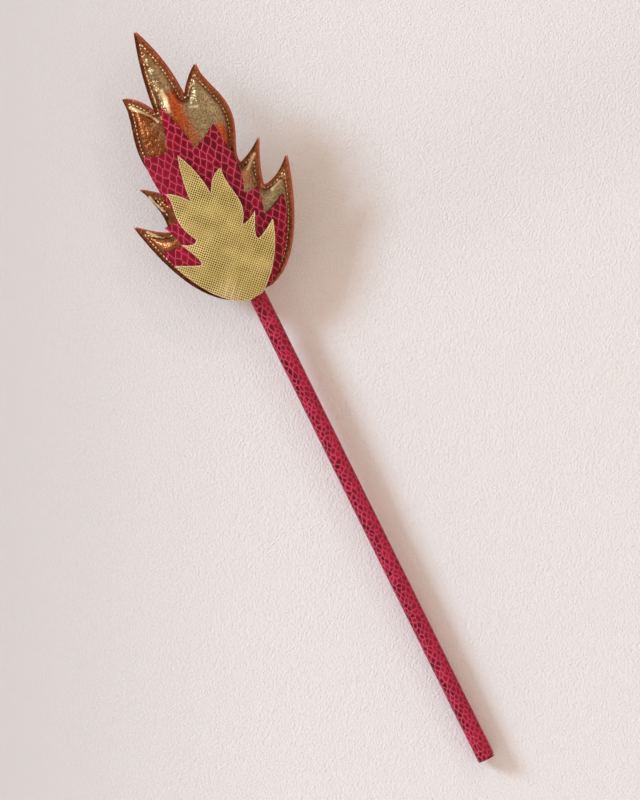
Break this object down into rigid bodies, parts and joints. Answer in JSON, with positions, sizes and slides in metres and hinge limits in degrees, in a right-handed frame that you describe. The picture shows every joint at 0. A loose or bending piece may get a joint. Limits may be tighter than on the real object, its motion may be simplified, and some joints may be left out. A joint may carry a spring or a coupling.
{
  "type": "toy magic wand",
  "caption": "Toy wand: a leather-wrapped round stick with a stuffed, edge-stitched flame head, faced by two pointed leather petal layers that bend forward at their sewn feet.",
  "frame": {"origin": "on the stick's axis at the middle of the grip, 60 mm above the stick's lower end", "axes": "+Z along the stick towards the flame's tip, -Y out of the flame's front face, +X to the right seen from the front"},
  "size_m": [0.09, 0.0237, 0.4279],
  "materials": {
    "dowel_wood": "raw turned wood",
    "red_leather": "glossy reptile-embossed faux leather",
    "copper_leather": "metallic copper foil faux leather",
    "gold_leather": "pale gold faux leather with a fine grid of dots",
    "wadding": "soft polyester wadding",
    "copper_thread": "shiny polyester sewing thread",
    "red_thread": "polyester sewing thread"
  },
  "bodies": {
    "wand": {"dowel_core": "dowel_wood", "stick_sleeve": "red_leather", "end_patch": "red_leather", "front_panel": "copper_leather", "back_panel": "copper_leather", "front_wadding": "wadding", "back_wadding": "wadding", "front_stitches": "copper_thread", "back_stitches": "copper_thread", "red_tack": "red_thread"},
    "red_layer": {"red_petal": "red_leather", "gold_tack": "red_thread"},
    "gold_layer": {"gold_petal": "gold_leather"}
  },
  "joints": [
    {"name": "red_bend", "type": "hinge", "parent": "wand", "child": "red_layer", "pos_m": [0, -0.00794, 0.2169], "axis": [1, 0, 0], "range_deg": [0, 20], "stiffness_Nm_per_rad": 0.05},
    {"name": "gold_bend", "type": "hinge", "parent": "red_layer", "child": "gold_layer", "pos_m": [0, -0.00994, 0.2169], "axis": [1, 0, 0], "range_deg": [0, 20], "stiffness_Nm_per_rad": 0.05}
  ]
}
